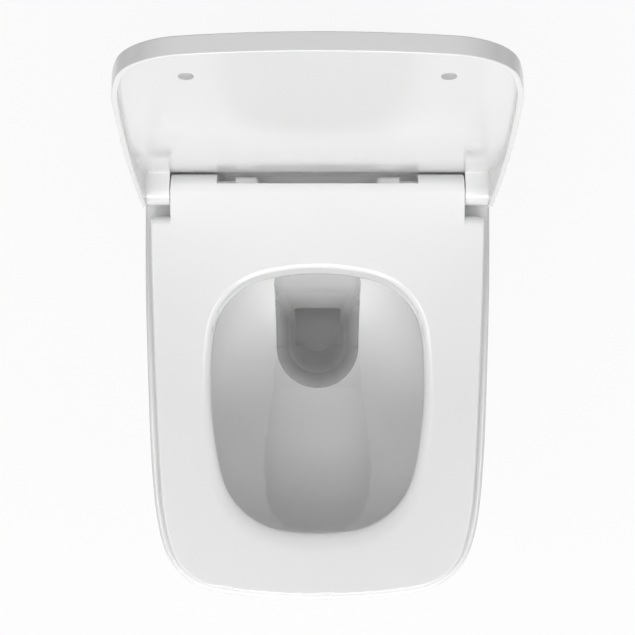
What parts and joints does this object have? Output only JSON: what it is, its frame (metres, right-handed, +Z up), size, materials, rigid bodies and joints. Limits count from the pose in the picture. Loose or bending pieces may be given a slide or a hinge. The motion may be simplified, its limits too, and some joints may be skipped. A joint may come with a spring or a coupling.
{
  "type": "wall hung toilet",
  "caption": "Wall hung toilet with a rounded square pan, rimless bowl, slim soft close seat and wrap over lid on a quick release hinge.",
  "frame": {"origin": "midway between the two wall fixing holes, on the wall plane", "axes": "+Y into the wall, so the front is at -Y; +Z up; +X across the pan"},
  "size_m": [0.361, 0.5104, 0.7818],
  "materials": {
    "china": "gloss",
    "duroplast": "gloss",
    "buffer": "satin",
    "hinge_plastic": "satin",
    "release_plastic": "satin",
    "damper_plastic": "satin",
    "steel": "brushed",
    "nylon": "matt",
    "rubber": "matt"
  },
  "bodies": {
    "pan": {"pan": "china", "wall_bushes": "nylon", "hinge_studs": "steel", "stud_pads": "rubber", "stud_sleeves": "rubber", "stud_nuts": "steel"},
    "hinges": {"hinge_post_right": "hinge_plastic", "hinge_post_left": "hinge_plastic", "release_spring_right": "steel", "release_spring_left": "steel", "seat_damper_body": "damper_plastic", "lid_damper_body": "damper_plastic"},
    "seat": {"seat": "duroplast", "seat_bumpers": "buffer", "seat_damper_shaft": "steel"},
    "lid": {"lid": "duroplast", "lid_bumpers": "buffer", "lid_damper_shaft": "steel", "lid_pivot_pin": "steel"},
    "release_right": {"release_right": "release_plastic"},
    "release_left": {"release_left": "release_plastic"}
  },
  "joints": [
    {"name": "seat_lift_off", "type": "slide", "parent": "pan", "child": "hinges", "axis": [0, 0, 1], "range_m": [0, 0.03]},
    {"name": "seat_hinge", "type": "hinge", "parent": "hinges", "child": "seat", "pos_m": [0, -0.092, 0.099], "axis": [-1, 0, 0], "range_deg": [0, 96]},
    {"name": "lid_hinge", "type": "hinge", "parent": "hinges", "child": "lid", "pos_m": [0, -0.092, 0.099], "axis": [-1, 0, 0], "range_deg": [-96, 0]},
    {"name": "release_right_push", "type": "slide", "parent": "hinges", "child": "release_right", "axis": [1, 0, 0], "range_m": [0, 0.003], "stiffness_N_per_m": 600, "springref_m": -0.002, "deforming": ["release_spring_right"]},
    {"name": "release_left_push", "type": "slide", "parent": "hinges", "child": "release_left", "axis": [-1, 0, 0], "range_m": [0, 0.003], "stiffness_N_per_m": 600, "springref_m": -0.002, "deforming": ["release_spring_left"]}
  ]
}
